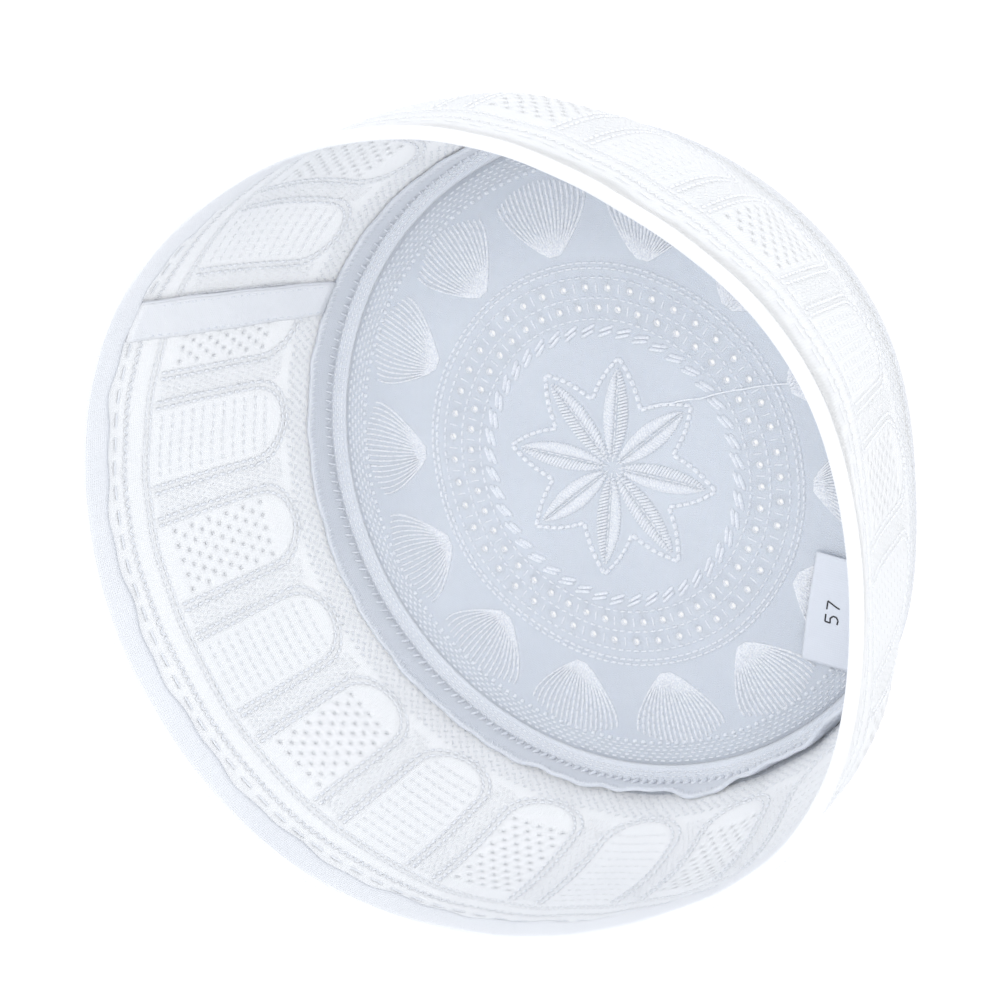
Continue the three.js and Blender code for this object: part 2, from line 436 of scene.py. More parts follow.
# The rope ring: pairs of long slanted stitches that overlap like the strands of a rope.
ROPE_RADIUS = 32.3 * MM
ROPE_PAIRS = 44
rope_turn = np.arange(ROPE_PAIRS) / ROPE_PAIRS * TAU
rope = []
for shift in (-0.62, 0.62):
    inner_turn = rope_turn - (shift * 0.35 * MM) / ROPE_RADIUS
    outer_turn = inner_turn - 4.3 * MM / ROPE_RADIUS
    inner_r = ROPE_RADIUS - (0.85 - shift) * MM
    outer_r = ROPE_RADIUS + (0.85 + shift) * MM
    rope.append(
        on_crown(
            inner_r * np.cos(inner_turn),
            inner_r * np.sin(inner_turn),
            outer_r * np.cos(outer_turn),
            outer_r * np.sin(outer_turn),
            0.9 * MM,
            2.0 * MM,
            0.3 * MM,
        )
    )
rope_ring = sew("rope_ring", rope, shade_painted_thread)


def bound_rims(centres, radius_vectors, tangent_vectors, facing, tube, count=10):
    """A small ring of thread round each hole: a square-section torus with count steps,
    its centre circle spanned by two vectors a hole, its tube drawn out along facing."""
    swing = np.arange(count) / count * TAU
    circle = (
        np.cos(swing)[None, :, None] * radius_vectors[:, None]
        + np.sin(swing)[None, :, None] * tangent_vectors[:, None]
    )
    outward = circle / np.linalg.norm(circle, axis=2, keepdims=True)
    corners = np.array([(-1, 0), (0, 1), (1, 0), (0, -1)])
    points = (
        centres[:, None, None]
        + circle[:, :, None]
        + corners[None, None, :, 0, None] * outward[:, :, None] * tube[0]
        + corners[None, None, :, 1, None] * facing[:, None, None] * tube[1]
    )
    k, c = np.meshgrid(np.arange(count), np.arange(4), indexing="ij")
    k, c = k.ravel(), c.ravel()
    k2, c2 = (k + 1) % count, (c + 1) % 4
    quads = np.stack([4 * k + c, 4 * k + c2, 4 * k2 + c2, 4 * k2 + c], axis=1)
    quads = (np.arange(len(centres))[:, None, None] * 4 * count + quads[None]).reshape(-1, 4)
    return points.reshape(-1, 3), quads


upward = np.broadcast_to([0.0, 0.0, 1.0], (len(eyelet_x), 3))
rim_reach = EYELET_RADIUS + 0.1 * MM
rim_points, rim_quads = bound_rims(
    crown_point(eyelet_x, eyelet_y),
    np.broadcast_to([rim_reach, 0, 0], (len(eyelet_x), 3)),
    np.broadcast_to([0, rim_reach, 0], (len(eyelet_x), 3)),
    upward,
    (0.32 * MM, 0.7 * MM),
)
eyelet_rims = make_piece("eyelet_rims", rim_points, [rim_quads])
eyelet_rims.data.materials.append(white_thread)

# The lines round the eyelets, and the bars between them.
eyelet_lines = [
    circle_line(35.0 * MM, 110, 0.8, 0.55 * MM, 1.6 * MM, 0.1 * MM),
    circle_line(39.9 * MM, 124, 0.8, 0.55 * MM, 1.6 * MM, 0.1 * MM),
    circle_line(44.6 * MM, 140, 0.8, 0.55 * MM, 1.6 * MM, 0.1 * MM),
    circle_line(46.8 * MM, 150, 0.94, 0.6 * MM, 1.7 * MM, 0.15 * MM),
    circle_line(48.0 * MM, 154, 0.94, 0.6 * MM, 1.7 * MM, 0.15 * MM),
]
for ring, ring_radius in enumerate(EYELET_RINGS):
    bar_turn = (np.arange(EYELETS) + 0.5 + ring / 2) / EYELETS * TAU
    near, far = ring_radius - 1.5 * MM, ring_radius + 1.5 * MM
    eyelet_lines.append(
        on_crown(
            near * np.cos(bar_turn),
            near * np.sin(bar_turn),
            far * np.cos(bar_turn),
            far * np.sin(bar_turn),
            0.5 * MM,
            1.5 * MM,
        )
    )
eyelet_lines = sew("eyelet_lines", eyelet_lines, shade_painted_thread)

# The fans: fourteen shells of fine curved lines that spread from one point each.
FANS = 14
FAN_TURN = np.radians(-8.7)
FAN_LINES = 18
fan_turn = FAN_TURN + np.arange(FANS) / FANS * TAU
spread = np.linspace(-1, 1, FAN_LINES)[:, None]
uneven_start = 0.05 * (np.arange(FAN_LINES) % 3)[:, None]
reach = np.clip(np.linspace(0.0, 1, 9)[None, :] + uneven_start, 0.04, 1)
fan_r = 49.6 * MM + 18.3 * MM * reach * (1 - 0.22 * spread**2 * reach)
fan_s = 11.6 * MM * spread * np.sin(np.pi / 2 * reach) ** 0.8
fan_groups = []
for turn in fan_turn:
    x = np.cos(turn) * fan_r - np.sin(turn) * fan_s
    y = np.sin(turn) * fan_r + np.cos(turn) * fan_s
    fan_groups.append(running(x, y, 1.35, 0.5 * MM, 1.9 * MM, 0.12 * MM))
fans = sew("fan_stitches", fan_groups, white_thread)

# A little chain-stitch hook over the point of each fan.
hook = np.linspace(0, np.pi, 7)
hook_r = 51.2 * MM + 2.1 * MM * np.sin(hook)
hook_s = -1.5 * MM * np.cos(hook)
x, y = turned(hook_r, hook_s, fan_turn)
hooks = sew(
    "fan_hooks", [running(x, y, 0.98, 0.85 * MM, 2.0 * MM, 0.3 * MM)], white_thread
)


# The border: close rings of fine stitches beside the seam, the innermost one dotted.
def beside_seam(inset):
    """Radius of a line that keeps inset from the crown's seam."""
    return lambda turn: section(turn)[1] - inset


border = [circle_line(beside_seam(5.6 * MM), 190, 0.5, 1.0 * MM, 2.0 * MM, 0.2 * MM)]
for k, inset in enumerate((4.6, 3.7, 2.8, 1.9, 1.0)):
    border.append(
        circle_line(beside_seam(inset * MM), 210, 0.7, 0.5 * MM, 1.6 * MM, 0.1 * MM, k / 2)
    )
border = sew("crown_border", border, shade_painted_thread)

# One loose thread that crosses from the flower to the rope ring and out over the fans.
stray_knots = np.arange(5)
stray_steps = np.linspace(0, 4, 33)
stray_reach = np.interp(stray_steps, stray_knots, [17, 23, 29.5, 40, 51.5]) * MM
stray_bearing = np.radians(np.interp(stray_steps, stray_knots, [-2, -15, -23, -29, -34]))
stray = sew(
    "stray_thread",
    [
        running(
            stray_reach * np.cos(stray_bearing),
            stray_reach * np.sin(stray_bearing),
            1.5,
            0.4 * MM,
            0.4 * MM,
            0.75 * MM,
        )
    ],
    white_thread,
)

# Side band
# One strip of the same cotton, 0.6 mm thick, sewn to the crown and bent up round it. It is
# stitched in twenty arches. Every second arch has small punched eyelets, the others faint
# rungs.
CELLS = 20
CELL_COLUMNS = 32
BAND_COLUMNS = CELLS * CELL_COLUMNS
CELL_TURN = TAU / CELLS
PILLAR_TURN = np.radians(85)  # middle of the first pillar, beside the back seam
ARCH_FOOT = 53 * MM  # up the wall, where the arches stand on the base line
ARCH_TOP = 14 * MM
ARCHES_END = 54 * MM  # past this the rows close up where the wall is short
BAND_CLOTH = 0.6 * MM
BAND_EYELET_RADIUS = 0.28 * MM
BAND_EYELET_STEP = 0.85 * MM
band_radius = 84 * MM  # for turning widths into angles


def softness(turn, up):
    """Small dents of handled cloth, outward in metres: three crossed waves that fade
    out at the crown seam and the rim."""
    _, _, length = section(turn)
    share = np.clip(up / length, 0, 1)
    waves = 0.45 * np.sin(5 * turn + 5 * share) + 0.30 * np.sin(9 * turn - 7 * share)
    waves = waves + 0.20 * np.sin(23 * turn + 3 * np.sin(3 * turn))
    return waves * MM * np.sin(np.pi * share) ** 0.5


def wall(turn, up, out=0.0):
    """A point of the band in metres. up runs along the cloth from the top of the corner,
    negative round the corner; out is the distance outward from mid-cloth. Below nought the
    point goes round an arc of the corner's radius. Above, it goes up the lean, and outward
    by the belly times sine squared of the way up, plus the dents."""
    turn, up, out = np.broadcast_arrays(turn, up, out)
    flare, seam, length = section(turn)
    swing = np.maximum(-flare + np.minimum(up, 0) / CORNER_RADIUS, -np.pi / 2)
    share = np.pi * np.clip(up, 0, None) / length
    belly = settled("belly", turn) * np.sin(share) ** 2
    slope = settled("belly", turn) * np.pi * np.sin(2 * share) / length
    lean = flare + np.arctan(slope)
    off = out + softness(turn, up)
    risen = np.clip(up, 0, None)
    over = np.where(up < 0, CORNER_RADIUS + out, CORNER_RADIUS)
    swing = np.where(up < 0, swing, -flare)
    radius = seam + over * np.cos(swing)
    height = CLOTH_MIDDLE + CORNER_RADIUS + over * np.sin(swing)
    straight = up >= 0
    radius = radius + np.where(
        straight,
        risen * np.sin(flare) + belly * np.cos(flare) + off * np.cos(lean),
        0,
    )
    height = height + np.where(
        straight,
        risen * np.cos(flare) - belly * np.sin(flare) - off * np.sin(lean),
        0,
    )
    return np.stack([radius * np.cos(turn), radius * np.sin(turn), height], axis=-1)


band_cotton = cotton("band cotton", (0.92, 0.938, 0.972), (0.90, 0.92, 0.96), 3.5 * MM)
# Seam cotton is the same white cotton painted darker: painted shade in the corner and on the
# allowance turned up inside it.
seam_cotton_painted_shade = cotton("seam cotton, painted shade", (0.79, 0.81, 0.85), (0.74, 0.765, 0.81), 1.0 * MM)

corner_rows = np.linspace(-1, 0, 7)[:-1]
plain_below = np.array([0.0, 3.5, 7.0, 10.5, 14.0, 17.0, 19.5]) * MM
eyelet_rows = 21 * MM + BAND_EYELET_STEP * np.arange(37)
plain_above = np.linspace(54.5, 72.5, 7)[:-1] * MM
band_turns = PILLAR_TURN + np.arange(BAND_COLUMNS) / BAND_COLUMNS * TAU
flare, _, wall_length = section(band_turns)
corner_length = CORNER_RADIUS * (np.pi / 2 - flare)
rim_gap = 0.8 * MM
up_rows = np.concatenate([plain_below, eyelet_rows, plain_above])
band_up = np.concatenate(
    [
        corner_rows[:, None] * corner_length,
        up_rows[:, None] + 0 * band_turns,
        (wall_length - rim_gap)[None],
    ]
)
top_limit = wall_length - rim_gap - 1.5 * MM
squeeze = np.clip(top_limit / up_rows[-1], None, 1.0)
past_arches = band_up[:-1] - ARCHES_END
band_up[:-1] = np.where(past_arches > 0, ARCHES_END + past_arches * squeeze, band_up[:-1])
band_turn = band_turns + 0 * band_up

first_hole_row = len(corner_rows) + len(plain_below) + 2
hole_lists = []
for stagger in (0, 1):
    rows = first_hole_row + 6 * np.arange(6 - stagger) + 3 * stagger
    columns = 8 + 2 * stagger + 4 * np.arange(5 - stagger)
    cell, row, col = np.meshgrid(np.arange(0, CELLS, 2), rows, columns, indexing="ij")
    hole_lists.append(np.stack([row.ravel(), (cell * CELL_COLUMNS + col).ravel()]))
band_hole_rows, band_hole_columns = np.concatenate(hole_lists, axis=1)
in_arch_middle = (band_hole_columns % CELL_COLUMNS - CELL_COLUMNS / 2) * TAU / BAND_COLUMNS
in_arch_middle = in_arch_middle * band_radius
above_top = band_up[band_hole_rows, band_hole_columns] - ARCH_TOP
arch_half = 8.9 * MM
inside = (above_top > arch_half) | (
    np.hypot(in_arch_middle, arch_half - above_top) < arch_half - 1.6 * MM
)
band_hole_rows, band_hole_columns = band_hole_rows[inside], band_hole_columns[inside]

hole_turn = band_turn[band_hole_rows, band_hole_columns].copy()
hole_up = band_up[band_hole_rows, band_hole_columns].copy()
for row_step, column_step in ROUND_A_HOLE:
    length = np.hypot(row_step, column_step)
    row = band_hole_rows + row_step
    column = (band_hole_columns + column_step) % BAND_COLUMNS
    band_up[row, column] = hole_up + BAND_EYELET_RADIUS * row_step / length
    band_turn[row, column] = (
        hole_turn + BAND_EYELET_RADIUS * column_step / length / band_radius
    )

band_quads = ring_quads(len(band_up), BAND_COLUMNS, band_hole_rows, band_hole_columns)
band_points = wall(band_turn, band_up).reshape(-1, 3)
band_chart = np.stack([band_turn.ravel() * band_radius, band_up.ravel()], axis=1)
round_band = TAU * band_radius
band = make_piece(
    "band_cloth", band_points, [band_quads[:, ::-1]], band_chart, wrap=round_band
)
band.data.materials.append(band_cotton)
band.data.materials.append(seam_cotton_painted_shade)
# The corner faces take the seam cotton, whose darker colour is painted shade.
in_corner = band_quads[:, 0] // BAND_COLUMNS < len(corner_rows) + 1
band.data.polygons.foreach_set("material_index", in_corner.astype(np.int32))
thicken(band, BAND_CLOTH)
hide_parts("side_band")

# Stitching of the band
# The same thread: a stippled net along the crown, chain-stitched arches on narrow
# stippled pillars, rungs, a base line, and the long hem stitches near the rim.
wall_thread = thread("wall thread", (0.98, 0.985, 0.998), (0.90, 0.92, 0.96))
scatter = np.random.default_rng(7)


def wall_facing(turn, up):
    """The outward direction of the wall, from two nearby points off mid-cloth."""
    away = wall(turn, up, 0.5 * MM) - wall(turn, up, 0.0)
    return away / np.linalg.norm(away, axis=-1, keepdims=True)


def on_band(turn0, up0, turn1, up1, width, height, out=0.0):
    """A group of stitches of the band between places given by turn and up."""
    turn0, up0, turn1, up1 = (np.ravel(v) for v in np.broadcast_arrays(turn0, up0, turn1, up1))
    start, end = wall(turn0, up0, out), wall(turn1, up1, out)
    return start, end, wall_facing((turn0 + turn1) / 2, (up0 + up1) / 2), width, height


def band_running(turn, up, fill, width, height, out=0.0):
    """Stitches end to end along lines of turn and up, which lie along the last axis."""
    turn, up = np.broadcast_arrays(turn, up)
    gap = (1 - fill) / 2
    dt, du = np.diff(turn, axis=-1), np.diff(up, axis=-1)
    return on_band(
        turn[..., :-1] + gap * dt,
        up[..., :-1] + gap * du,
        turn[..., 1:] - gap * dt,
        up[..., 1:] - gap * du,
        width,
        height,
        out,
    )


cell_middle = PILLAR_TURN + (np.arange(CELLS) + 0.5) * CELL_TURN

# Arches: two straight sides and a round top towards the crown, in chain stitch.
side_up = np.linspace(ARCH_FOOT, ARCH_TOP + arch_half, 15)
top_swing = np.linspace(0, np.pi, 16)
arch_s = np.concatenate(
    [np.full(15, arch_half), arch_half * np.cos(top_swing), np.full(15, -arch_half)]
)
arch_u = np.concatenate(
    [side_up, ARCH_TOP + arch_half - arch_half * np.sin(top_swing), side_up[::-1]]
)
arch_groups = []
for grow in (0.0, 1.5 * MM):
    s = arch_s * (1 + grow / arch_half)
    u = np.where(arch_u < ARCH_TOP + arch_half, arch_u - grow * 0.8, arch_u)
    turn = cell_middle[:, None] + s[None] / band_radius
    arch_groups.append(band_running(turn, u[None], 0.88, 0.8 * MM, 1.15 * MM))
arches = sew("arch_stitches", arch_groups, wall_thread)

# Pillars: short stitches scattered in staggered rows between the arches.
pillar_u = np.arange(16, 52.5, 1.6) * MM
pillar_s = np.array([-2.1, -0.7, 0.7, 2.1]) * MM
pillar_turn = PILLAR_TURN + np.arange(CELLS) * CELL_TURN
turn, up, s = np.meshgrid(pillar_turn, pillar_u, pillar_s, indexing="ij")
up = up + scatter.uniform(-0.3, 0.3, up.shape) * MM
s = s + 0.7 * MM * (np.arange(len(pillar_u)) % 2)[None, :, None] - 0.35 * MM
slant = scatter.uniform(-0.5, 0.5, up.shape) * MM
pillars = sew(
    "pillar_stitches",
    [
        on_band(
            turn + (s - slant) / band_radius,
            up - 0.45 * MM,
            turn + (s + slant) / band_radius,
            up + 0.45 * MM,
            0.5 * MM,
            0.85 * MM,
        )
    ],
    wall_thread,
)

# Net: two sets of slanted rows of short stitches along the crown seam.
NET_STEP = 2.3 * MM
net_count = int(round(TAU * 80 * MM / NET_STEP))
net_u = np.arange(1.0, 13.5, 1.25) * MM
turn, up = np.meshgrid(np.arange(net_count) / net_count * TAU, net_u, indexing="ij")
odd = (np.arange(len(net_u)) % 2)[None]
turn = turn + odd * TAU / net_count / 2
tilt = np.where(odd == 0, 0.6, -0.6) * MM / band_radius
up = up + scatter.uniform(-0.15, 0.15, up.shape) * MM
net = [on_band(turn - tilt, up - 0.5 * MM, turn + tilt, up + 0.5 * MM, 0.6 * MM, 0.95 * MM)]
net = sew("crown_net", net, shade_painted_thread)

# Rungs: faint level rows of running stitches in the plain arches.
rung_u = np.arange(19.5, 52, 3.1) * MM
rung_half = np.where(
    rung_u < ARCH_TOP + arch_half,
    np.sqrt(np.clip(arch_half**2 - (ARCH_TOP + arch_half - rung_u) ** 2, 0, None)),
    arch_half,
) - 1.4 * MM
rung_share = np.linspace(-1, 1, 8)
turn = (
    cell_middle[1::2, None, None]
    + rung_half[None, :, None] * rung_share[None, None] / band_radius
)
rungs = [band_running(turn, rung_u[None, :, None], 0.72, 0.45 * MM, 0.9 * MM)]
rungs = sew("rung_stitches", rungs, wall_thread)

# Thread round each punched eyelet of the band.
hole_centre = wall(hole_turn, hole_up)
hole_facing = wall_facing(hole_turn, hole_up)
hole_side = np.stack([-np.sin(hole_turn), np.cos(hole_turn), 0 * hole_turn], axis=1)
hole_rise = np.cross(hole_side, hole_facing)
rim_points, rim_quads = bound_rims(
    hole_centre,
    hole_side * (BAND_EYELET_RADIUS + 0.06 * MM),
    hole_rise * (BAND_EYELET_RADIUS + 0.06 * MM),
    hole_facing,
    (0.12 * MM, 0.34 * MM),
    8,
)
band_rims = make_piece("band_eyelet_rims", rim_points, [rim_quads])
band_rims.data.materials.append(wall_thread)

# Base line and hem stitches, all the way round.
around = np.linspace(0, TAU, 321)
lines = [
    band_running(around, 54.2 * MM + 0 * around, 0.9, 0.7 * MM, 1.0 * MM),
    band_running(around, 55.6 * MM + 0 * around, 0.9, 0.55 * MM, 0.9 * MM),
]
zigzag_turn = np.arange(521) / 520 * TAU
zigzag_up = section(zigzag_turn)[2] - 13.6 * MM
zigzag_up = zigzag_up + np.where(np.arange(521) % 2 == 0, 0.8, -0.8) * MM
for corner_up in (-4.6, -3.5, -2.4):
    lines.append(band_running(around, corner_up * MM + 0 * around, 0.7, 0.5 * MM, 1.1 * MM))
lines.append(band_running(zigzag_turn, zigzag_up, 0.98, 0.55 * MM, 0.95 * MM))
dash_turn = np.arange(101) / 100 * TAU
lines.append(
    band_running(dash_turn, section(dash_turn)[2] - 10.6 * MM, 0.8, 0.7 * MM, 1.0 * MM)
)
hem_lines = sew("hem_line_stitches", lines, wall_thread)

# Rim hem
# The band's edge folded over to the inside, 7 mm wide, and pressed. It is one loop of
# cloth round the rim, a little uneven where the fold was eased round.
fold_cotton = cotton("folded cotton", (0.965, 0.967, 0.975), (0.945, 0.95, 0.965))
HEM_WIDTH = 7.3 * MM
HEM_COLUMNS = 320


def hem_profile(turn):
    """Closed loop of (out, up) round the folded edge: up the inside, over the top in a
    half circle, down the outside a little, and back under the fold."""
    length = section(turn)[2][:, None]
    ease = 1 + 0.07 * np.sin(17 * turn) + 0.05 * np.sin(41 * turn + 1)
    width = (HEM_WIDTH * ease)[:, None]
    inner, outer = -2.05 * MM, 0.75 * MM
    middle, half = (inner + outer) / 2, (outer - inner) / 2
    climb = np.linspace(0, 1, 7)[None, :]
    swing = np.linspace(np.pi, 0, 9)[None, 1:-1]
    inside_up = length - width + climb * (width - 0.9 * MM)
    inside_out = inner + 0.35 * MM * (1 - np.sin(np.pi / 2 * np.clip(climb * 6, 0, 1)))
    top_out, top_up = middle + half * np.cos(swing), -0.9 * MM + 0.9 * MM * np.sin(swing)
    return (
        np.concatenate(
            [
                inside_out + 0 * length,
                top_out + 0 * length,
                np.full((1, 2), outer) + 0 * length,
                np.array([[-0.62 * MM, -0.62 * MM]]) + 0 * length,
            ],
            axis=1,
        ),
        np.concatenate(
            [
                inside_up,
                top_up + length,
                length + np.array([[-1.0 * MM, -1.6 * MM]]),
                np.concatenate([length - 1.6 * MM, length - width], axis=1),
            ],
            axis=1,
        ),
    )


def loop_quads(columns, loop):
    """Quads of closed loops of points carried round a closed ring."""
    i, j = np.meshgrid(np.arange(columns), np.arange(loop), indexing="ij")
    i, j = i.ravel(), j.ravel()
    i2, j2 = (i + 1) % columns, (j + 1) % loop
    return np.stack([i * loop + j, i * loop + j2, i2 * loop + j2, i2 * loop + j], axis=1)


hem_turn = np.arange(HEM_COLUMNS) / HEM_COLUMNS * TAU
hem_out, hem_up = hem_profile(hem_turn)
hem_points = wall(hem_turn[:, None], hem_up, hem_out)
hem_chart = np.stack([hem_turn[:, None] * band_radius + 0 * hem_up, hem_up], axis=-1)
hem_faces = loop_quads(HEM_COLUMNS, hem_up.shape[1])
hem = make_piece(
    "hem_cloth",
    hem_points.reshape(-1, 3),
    [hem_faces],
    hem_chart.reshape(-1, 2),
    wrap=round_band,
)
hem.data.materials.append(fold_cotton)
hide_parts("rim_hem")

# Seam allowance
# The raw edges of crown and band, turned up inside the corner and overcast. The strip
# leans on the wall at its foot, and its free edge waves.
ALLOWANCE = 6.9 * MM
ALLOWANCE_COLUMNS = 480


def allowance_wave(turn):
    """How far the free edge stands off the wall, in metres: a slack that is greatest at 240
    degrees and falls off by its fourth power, times one slow wave, plus two fine ones."""
    slack = 0.5 + 0.5 * np.cos(turn - np.radians(240))
    wave = 1 + np.sin(13 * turn) * np.cos(4 * turn)
    fine = 0.35 * np.sin(37 * turn) + 0.25 * np.sin(61 * turn + 2)
    return ((0.15 + 1.7 * slack**4) * wave + 0.15 * fine + 0.1) * MM


def allowance_place(turn, share):
    """(up, out) of the strip's middle: share runs from its foot to its free edge. The height
    grows with share times a ragged width, and the standoff with share squared."""
    slack = (0.5 + 0.5 * np.cos(turn - np.radians(240))) ** 4
    ragged = 1 + (0.015 + 0.06 * slack) * (np.sin(29 * turn) + np.sin(53 * turn + 1))
    up = -1.6 * MM + share * (ALLOWANCE * ragged + 1.2 * MM)
    off_wall = 0.2 * MM + 0.8 * MM * np.clip(2.5 * share, 0, 1)
    out = -off_wall - allowance_wave(turn) * np.clip(share, 0, 1) ** 2
    return up, out


strip_turn = np.arange(ALLOWANCE_COLUMNS) / ALLOWANCE_COLUMNS * TAU
strip_turn, strip_share = np.meshgrid(strip_turn, np.linspace(0, 1, 8), indexing="ij")
strip_up, strip_out = allowance_place(strip_turn, strip_share)
strip_points = wall(strip_turn, strip_up, strip_out).reshape(-1, 3)
i, j = np.meshgrid(np.arange(ALLOWANCE_COLUMNS), np.arange(7), indexing="ij")
i, j = i.ravel(), j.ravel()
i2 = (i + 1) % ALLOWANCE_COLUMNS
strip_quads = np.stack([i * 8 + j, i2 * 8 + j, i2 * 8 + j + 1, i * 8 + j + 1], axis=1)
strip_chart = np.stack([strip_turn * band_radius, strip_up], axis=-1).reshape(-1, 2)
allowance = make_piece(
    "allowance_cloth", strip_points, [strip_quads], strip_chart, wrap=round_band
)
# The allowance is the same white cotton; its darker colour is painted shade.
allowance.data.materials.append(seam_cotton_painted_shade)
thicken(allowance, CLOTH)
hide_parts("seam_allowance")

# Overcasting: a zigzag over the foot of the strip, and slanted turns over its edge.
zig = np.arange(421) / 420 * TAU
zig_share = np.where(np.arange(421) % 2 == 0, -0.02, 0.36)
zig_up, zig_out = allowance_place(zig, zig_share)
overcast = [band_running(zig, zig_up, 0.98, 0.5 * MM, 1.3 * MM, zig_out[:-1] - 0.05 * MM)]
turns = np.arange(330) / 330 * TAU
low_up, low_out = allowance_place(turns, 0.74)
high_up, high_out = allowance_place(turns + 0.008, 1.0)
start = wall(turns, low_up, low_out)
end = wall(turns + 0.008, high_up, high_out)
overcast.append((start, end, wall_facing(turns, low_up), 0.55 * MM, 1.35 * MM))
overcast = sew("overcast_stitches", overcast, shade_painted_thread)

# Back lap
# A plain strip of cotton, 9 mm wide, that covers the upright joint of the band's ends.
# It is stitched down along both edges with white thread.
LAP_TURN = np.radians(90)
LAP_HALF = 4.5 * MM / (77.5 * MM)
lap_share, lap_climb = np.meshgrid(np.linspace(-1, 1, 13), np.linspace(0, 1, 30), indexing="ij")
lap_turn = LAP_TURN + LAP_HALF * lap_share
lap_top = section(lap_turn)[2] - HEM_WIDTH - 0.4 * MM
lap_up = 7.2 * MM + lap_climb * (lap_top - 7.2 * MM)
lap_out = (-1.42 - 0.22 * np.cos(np.pi / 2 * lap_share)) * MM
lap_out = lap_out + 0.12 * MM * np.sin(21 * lap_climb + 2 * lap_share)
lap_points = wall(lap_turn, lap_up, lap_out).reshape(-1, 3)
i, j = np.meshgrid(np.arange(12), np.arange(29), indexing="ij")
i, j = i.ravel(), j.ravel()
lap_quads = np.stack([i * 30 + j, i * 30 + 30 + j, i * 30 + 31 + j, i * 30 + j + 1], axis=1)
lap_chart = np.stack([lap_turn * band_radius, lap_up], axis=-1).reshape(-1, 2)
lap = make_piece("lap_cloth", lap_points, [lap_quads], lap_chart)
lap.data.materials.append(fold_cotton)
thicken(lap, CLOTH)
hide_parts("band_lap")

lap_line = np.linspace(8.0 * MM, 61.5 * MM, 24)
lap_groups = [
    band_running(LAP_TURN + LAP_HALF * side, lap_line, 0.75, 0.5 * MM, 1.3 * MM, -1.5 * MM)
    for side in (-0.8, 0.8)
]
lap_stitches = sew("lap_stitches", lap_groups, white_thread)

# Size label
# A small tab of white satin ribbon on the crown beside the wall, with a plain size number in
# black thread.
LABEL_LENGTH, LABEL_WIDTH = 26 * MM, 12 * MM
LABEL_REACH, LABEL_BEARING = 60.5 * MM, np.radians(272)
LABEL_TURN = np.radians(290)  # the way its outer long side faces
LABEL_COLUMNS, LABEL_ROWS = 41, 21
RIBBON = 0.4 * MM


def label_place(along, across, lift=0.0):
    """A point of the label from its own flat place: across points away from the centre,
    and the ribbon bows up by half a cosine between its sewn ends."""
    along, across, lift = np.broadcast_arrays(along, across, lift)
    x = across * np.cos(LABEL_TURN) - along * np.sin(LABEL_TURN)
    y = across * np.sin(LABEL_TURN) + along * np.cos(LABEL_TURN)
    x = x + (LABEL_REACH + 1.2 * MM) * np.cos(LABEL_BEARING)
    y = y + (LABEL_REACH + 1.2 * MM) * np.sin(LABEL_BEARING)
    bow = 0.5 * MM * np.cos(np.pi * along / LABEL_LENGTH)
    bow = bow + 0.25 * MM * np.sin(np.pi * across / LABEL_WIDTH + 0.6)
    return crown_point(x, y, 1.75 * MM + bow + lift)


along, across = np.meshgrid(
    np.linspace(-0.5, 0.5, LABEL_COLUMNS) * LABEL_LENGTH,
    np.linspace(-0.5, 0.5, LABEL_ROWS) * LABEL_WIDTH,
    indexing="ij",
)
i, j = np.meshgrid(np.arange(LABEL_COLUMNS - 1), np.arange(LABEL_ROWS - 1), indexing="ij")
i, j = i.ravel(), j.ravel()
label_quads = np.stack(
    [
        i * LABEL_ROWS + j,
        i * LABEL_ROWS + j + 1,
        (i + 1) * LABEL_ROWS + j + 1,
        (i + 1) * LABEL_ROWS + j,
    ],
    axis=1,
)
label_chart = np.stack([along.ravel(), across.ravel()], axis=1)
label = make_piece(
    "label_ribbon", label_place(along, across).reshape(-1, 3), [label_quads], label_chart
)
# The white satin is painted darker, to the crown's tone: painted shade of the ribbon lying deep
# in the cap.
satin = cotton("label satin, painted shade", (0.79, 0.815, 0.86), (0.75, 0.775, 0.825), 0.0, 0.04 * MM, 90.0)
satin.node_tree.nodes["Principled BSDF"].inputs["Roughness"].default_value = 0.4
label.data.materials.append(satin)
thicken(label, RIBBON)
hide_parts("size_label")

# The number 57, each digit a line of short black stitches, read along the ribbon.
FIVE_TOP = [(2.2, 3.4), (-1.6, 3.4), (-1.8, 0.6)]
FIVE_BOWL = [(0.6, 0.9), (2.1, -0.4), (2.0, -2.2), (0.4, -3.3), (-1.9, -3.0)]
FIVE = FIVE_TOP + FIVE_BOWL
SEVEN = [(-2.1, 3.3), (2.2, 3.3), (1.0, 0.6), (0.1, -1.4), (-0.5, -3.4)]
DIGIT_SCALE = 0.45 * MM
number = []
for digit, place in ((FIVE, -1.6), (SEVEN, 1.6)):
    corners = np.array(digit) * DIGIT_SCALE
    share = np.linspace(0, len(corners) - 1, 6 * (len(corners) - 1) + 1)
    across_line = np.interp(share, np.arange(len(corners)), corners[:, 1])
    along_line = np.interp(share, np.arange(len(corners)), corners[:, 0])
    ink = label_place(along_line + place * MM, -across_line, 0.2 * MM)
    facing = np.broadcast_to([0.0, 0.0, 1.0], ink[:-1].shape)
    overlap = 0.35 * (ink[1:] - ink[:-1])
    number.append((ink[:-1] - overlap, ink[1:], facing, 0.4 * MM, 0.22 * MM))
black_thread = thread("black thread", (0.035, 0.035, 0.04), (0.015, 0.015, 0.02))
label_number = sew("label_number", number, black_thread)

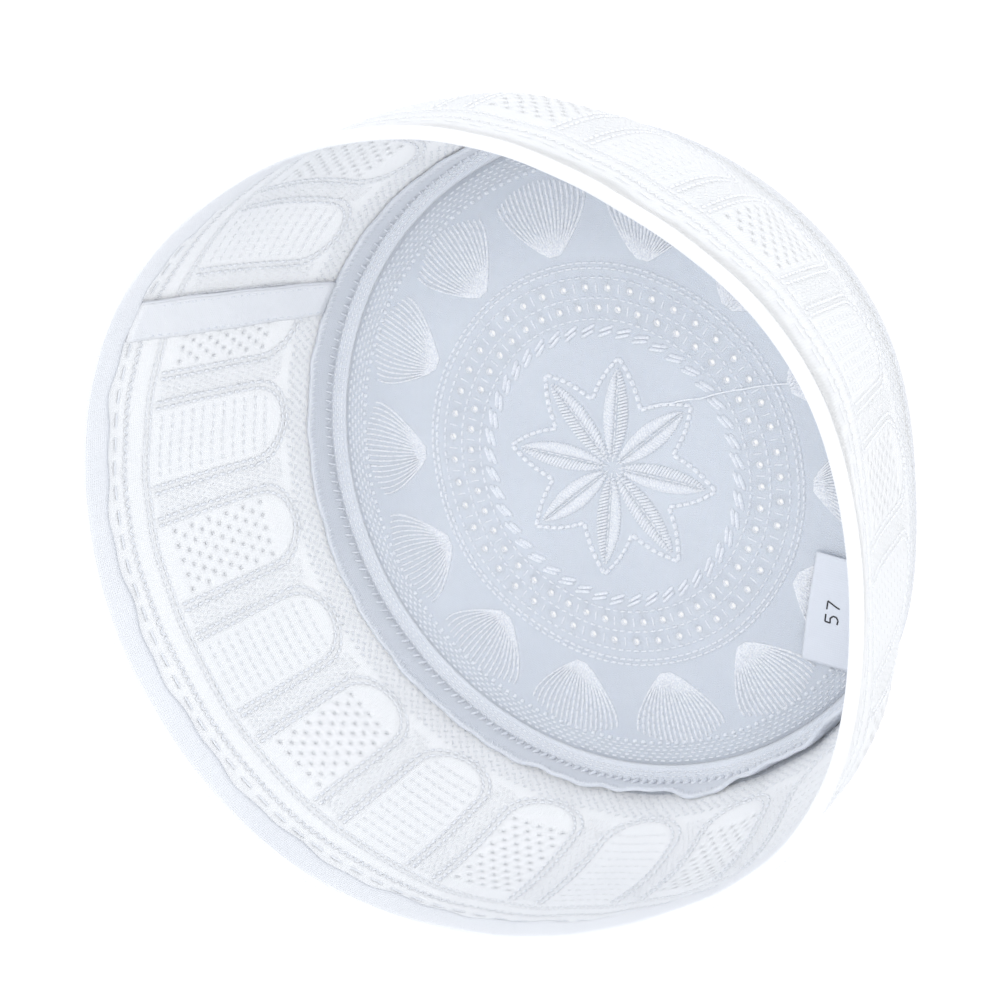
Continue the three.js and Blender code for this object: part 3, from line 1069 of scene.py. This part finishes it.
# Floor, light and camera
# A plain white floor and soft white light from all round, a little stronger from above.
# The camera looks down into the mouth, 58 degrees above the floor.
floor_mesh = bpy.data.meshes.new("floor")
floor_mesh.from_pydata([(-3, -3, 0), (3, -3, 0), (3, 3, 0), (-3, 3, 0)], [], [(0, 1, 2, 3)])
floor = bpy.data.objects.new("floor", floor_mesh)
bpy.context.scene.collection.objects.link(floor)
floor_white = bpy.data.materials.new("floor white")
floor_white.use_nodes = True
paint = floor_white.node_tree.nodes["Principled BSDF"]
paint.inputs["Base Color"].default_value = (0.2, 0.2, 0.2, 1)
paint.inputs["Roughness"].default_value = 1.0
paint.inputs["Emission Color"].default_value = (1, 1, 1, 1)
paint.inputs["Emission Strength"].default_value = 0.88
floor_mesh.materials.append(floor_white)

world = bpy.data.worlds.new("soft white")
world.use_nodes = True
sky = world.node_tree.nodes["Background"]
sky.inputs["Color"].default_value = (0.93, 0.955, 1.0, 1)
sky.inputs["Strength"].default_value = 1.055
bpy.context.scene.world = world

key = bpy.data.lights.new("window", "AREA")
key.shape = "DISK"
key.size = 0.9
key.energy = 3.0
key_light = bpy.data.objects.new("window", key)
key_light.location = (0.45, -0.1, 1.1)
# The light is aimed at the middle of the cap.
aim = np.array([0.0, 0.0, 0.03]) - np.array(key_light.location)
aim /= np.linalg.norm(aim)
side_axis = np.cross(aim, [0, 0, 1.0])
side_axis /= np.linalg.norm(side_axis)
top_axis = np.cross(side_axis, aim)
turned_to = np.eye(4)
turned_to[:3, :3] = np.stack([side_axis, top_axis, -aim], axis=1)
turned_to[:3, 3] = key_light.location
key_light.matrix_world = Matrix(turned_to.tolist())
bpy.context.scene.collection.objects.link(key_light)

CAMERA_DISTANCE = 0.5488
CAMERA_TILT = np.radians(32.2985)  # away from the cap's upright axis
CAMERA_TURN = np.radians(-30)  # the side of the cap it stands on
CAMERA_ROLL = np.radians(119.6609)
CAMERA_PAN, CAMERA_NOD = np.radians(2.69493), np.radians(-0.78479)
# The camera's axes: it stands back along the tilt, looks at the crown's centre with its
# picture rolled, and then pans and nods a little to set the cap in the frame.
toward = np.array([np.cos(CAMERA_TURN), np.sin(CAMERA_TURN), 0.0])
sideways = np.array([-np.sin(CAMERA_TURN), np.cos(CAMERA_TURN), 0.0])
back = np.sin(CAMERA_TILT) * toward + np.cos(CAMERA_TILT) * np.array([0, 0, 1.0])
down = np.cos(CAMERA_TILT) * toward - np.sin(CAMERA_TILT) * np.array([0, 0, 1.0])
right = sideways * np.cos(CAMERA_ROLL) + down * np.sin(CAMERA_ROLL)
below = -sideways * np.sin(CAMERA_ROLL) + down * np.cos(CAMERA_ROLL)
panned_right = np.cos(CAMERA_PAN) * right - np.sin(CAMERA_PAN) * back
panned_ahead = -np.sin(CAMERA_PAN) * right - np.cos(CAMERA_PAN) * back
nodded_below = np.cos(CAMERA_NOD) * below + np.sin(CAMERA_NOD) * panned_ahead
ahead = -np.sin(CAMERA_NOD) * below + np.cos(CAMERA_NOD) * panned_ahead
lens = bpy.data.cameras.new("camera")
lens.sensor_width = 36.0
lens.lens = 85.57
lens.clip_start, lens.clip_end = 0.05, 20.0
camera = bpy.data.objects.new("camera", lens)
placed = np.eye(4)
placed[:3, :3] = np.stack([panned_right, -nodded_below, -ahead], axis=1)
placed[:3, 3] = back * CAMERA_DISTANCE + np.array([0, 0, CROWN_INSIDE])
camera.matrix_world = Matrix(placed.tolist())
bpy.context.scene.collection.objects.link(camera)
bpy.context.scene.camera = camera
bpy.context.scene.view_settings.view_transform = "Standard"
